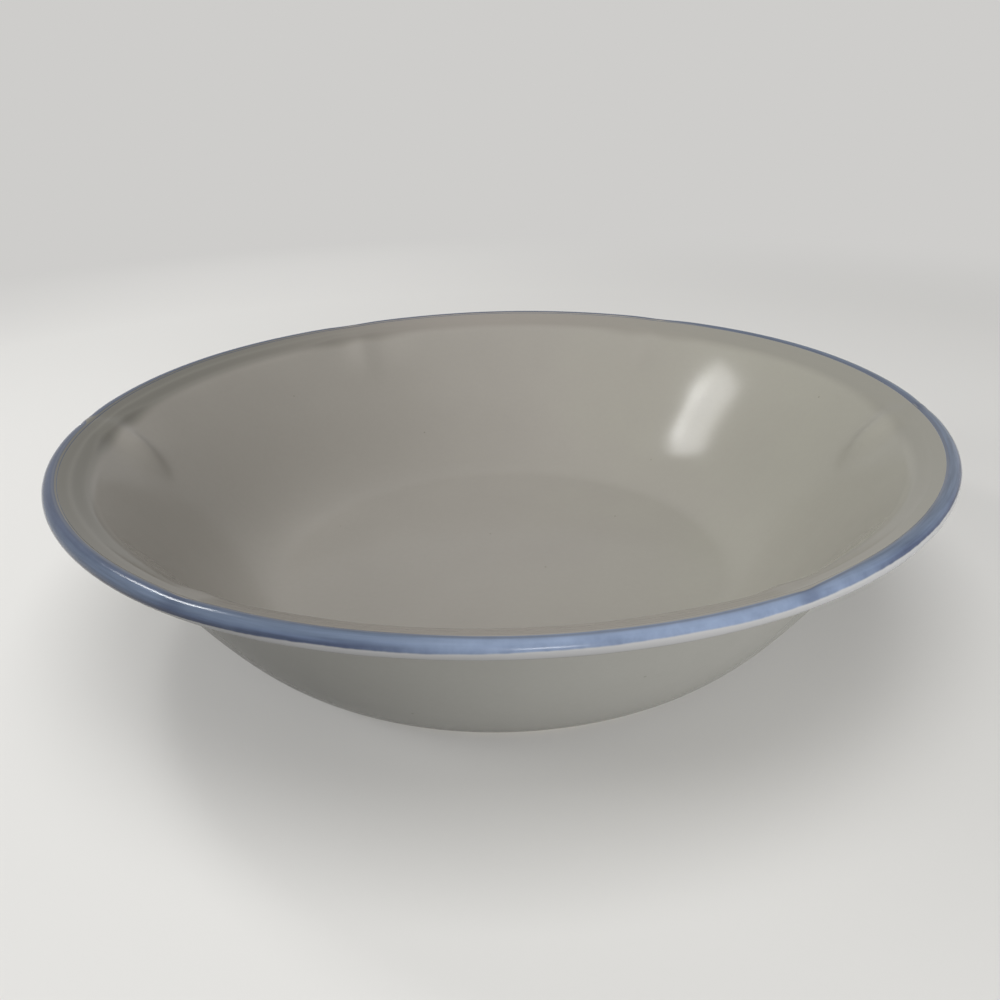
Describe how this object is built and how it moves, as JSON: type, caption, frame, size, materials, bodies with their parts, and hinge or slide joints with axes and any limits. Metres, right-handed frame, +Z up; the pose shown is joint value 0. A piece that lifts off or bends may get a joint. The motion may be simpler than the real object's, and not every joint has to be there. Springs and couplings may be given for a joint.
{
  "type": "serving bowl",
  "caption": "Shallow round glazed stoneware serving bowl with a narrow flange, a beaded lip with a blue band, ribs that mark six shallow lobes and a low foot ring.",
  "frame": {"origin": "on the table, under the middle of the bowl", "axes": "+Z up along the bowl's axis, +X towards one of the rim's cusps to within two degrees"},
  "size_m": [0.2302, 0.23, 0.0515],
  "materials": {
    "bare_clay": "matte unglazed fired stoneware",
    "warm_grey_glaze": "soft semi-gloss warm grey glaze",
    "blue_glaze": "brushed blue glaze, glossy, thinner on the crest"
  },
  "bodies": {
    "root": {"clay_body": "bare_clay", "inner_glaze": "warm_grey_glaze", "outer_glaze": "warm_grey_glaze", "base_glaze": "warm_grey_glaze", "rim_band": "blue_glaze"}
  },
  "joints": []
}
